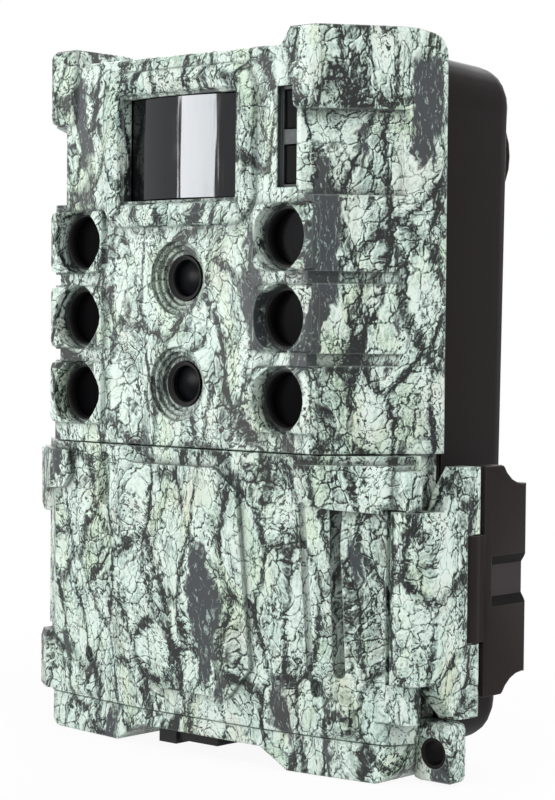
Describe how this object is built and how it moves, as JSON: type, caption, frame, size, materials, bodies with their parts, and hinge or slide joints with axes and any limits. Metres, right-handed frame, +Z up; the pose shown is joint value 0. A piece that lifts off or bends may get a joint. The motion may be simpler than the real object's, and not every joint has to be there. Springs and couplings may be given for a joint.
{
  "type": "trail camera",
  "caption": "Weatherproof bark-pattern trail camera with a motion window, lamp columns and lenses above a side-hinged battery door with a draw latch; straps to a tree or sits on a tripod.",
  "frame": {"origin": "under the middle of the whole camera, level with the feet and the tripod boss", "axes": "+Z up, -Y the way the lenses look, +X towards the latch side"},
  "size_m": [0.1142, 0.062, 0.143],
  "materials": {
    "bark_shell": "matte printed bark pattern",
    "case_brown": "fine matte",
    "latch_brown": "satin",
    "black_rubber": "matte",
    "smoked_window": "gloss",
    "lens_black": "satin",
    "emitter": "clear gloss",
    "board_green": "solder mask",
    "panel_grey": "fine matte",
    "screen": "gloss",
    "key_grey": "matte",
    "card_blue": "satin",
    "cell_wrap": "printed wrap, plain",
    "steel": "bright",
    "brass": "machined"
  },
  "bodies": {
    "housing": {"front_shell": "bark_shell", "rear_shell": "case_brown", "shell_gasket": "black_rubber", "tripod_insert": "brass", "pir_window": "smoked_window", "pir_sensor": "steel", "ir_window_1": "smoked_window", "ir_emitter_1": "emitter", "ir_window_2": "smoked_window", "ir_emitter_2": "emitter", "ir_window_3": "smoked_window", "ir_emitter_3": "emitter", "ir_window_4": "smoked_window", "ir_emitter_4": "emitter", "ir_window_5": "smoked_window", "ir_emitter_5": "emitter", "ir_window_6": "smoked_window", "ir_emitter_6": "emitter", "led_board_left": "board_green", "led_board_right": "board_green", "day_lens_barrel": "lens_black", "day_lens_glass": "smoked_window", "night_lens_barrel": "lens_black", "night_lens_glass": "smoked_window", "indicator_window": "smoked_window", "light_sensor_window": "smoked_window", "main_board": "board_green", "control_panel": "panel_grey", "control_board": "board_green", "lcd_screen": "screen", "sd_socket": "steel", "battery_tray": "panel_grey", "aa_cell_1": "cell_wrap", "aa_cell_2": "cell_wrap", "aa_cell_3": "cell_wrap", "aa_cell_4": "cell_wrap", "aa_cell_5": "cell_wrap", "aa_cell_6": "cell_wrap", "contact_left": "steel", "contact_right": "steel", "usb_port": "steel"},
    "door": {"lower_cover": "bark_shell", "door_seal": "black_rubber", "door_hinge_pin": "steel", "claw_pin": "steel"},
    "latch_claw": {"latch_claw": "bark_shell", "lever_pin": "steel"},
    "latch_lever": {"latch_lever": "latch_brown"},
    "port_cover": {"port_cover": "black_rubber"},
    "power_switch": {"power_switch": "key_grey"},
    "sd_card": {"sd_card": "card_blue"},
    "key_up": {"key_up": "key_grey"},
    "key_down": {"key_down": "key_grey"},
    "key_left": {"key_left": "key_grey"},
    "key_right": {"key_right": "key_grey"},
    "key_ok": {"key_ok": "key_grey"}
  },
  "joints": [
    {"name": "door_hinge", "type": "hinge", "parent": "housing", "child": "door", "pos_m": [-0.053, -0.01075, 0.035], "axis": [0, 0, -1], "range_deg": [0, 120]},
    {"name": "claw_hinge", "type": "hinge", "parent": "door", "child": "latch_claw", "pos_m": [0.0504, -0.01805, 0.04], "axis": [0, 0, -1], "range_deg": [0, 90]},
    {"name": "lever_hinge", "type": "hinge", "parent": "latch_claw", "child": "latch_lever", "pos_m": [0.0553, -0.00625, 0.038], "axis": [0, 0, -1], "range_deg": [0, 95]},
    {"name": "port_cover_hinge", "type": "hinge", "parent": "housing", "child": "port_cover", "pos_m": [0.0038, -0.01445, 0.0037], "axis": [0, -1, 0], "range_deg": [0, 90]},
    {"name": "power_switch_slide", "type": "slide", "parent": "housing", "child": "power_switch", "axis": [0, 0, 1], "range_m": [0, 0.006]},
    {"name": "sd_card_slide", "type": "slide", "parent": "housing", "child": "sd_card", "axis": [0, 0, -1], "range_m": [0, 0.0045]},
    {"name": "key_up_press", "type": "slide", "parent": "housing", "child": "key_up", "axis": [0, 1, 0], "range_m": [0, 0.0008], "stiffness_N_per_m": 400},
    {"name": "key_down_press", "type": "slide", "parent": "housing", "child": "key_down", "axis": [0, 1, 0], "range_m": [0, 0.0008], "stiffness_N_per_m": 400},
    {"name": "key_left_press", "type": "slide", "parent": "housing", "child": "key_left", "axis": [0, 1, 0], "range_m": [0, 0.0008], "stiffness_N_per_m": 400},
    {"name": "key_right_press", "type": "slide", "parent": "housing", "child": "key_right", "axis": [0, 1, 0], "range_m": [0, 0.0008], "stiffness_N_per_m": 400},
    {"name": "key_ok_press", "type": "slide", "parent": "housing", "child": "key_ok", "axis": [0, 1, 0], "range_m": [0, 0.0008], "stiffness_N_per_m": 400}
  ]
}
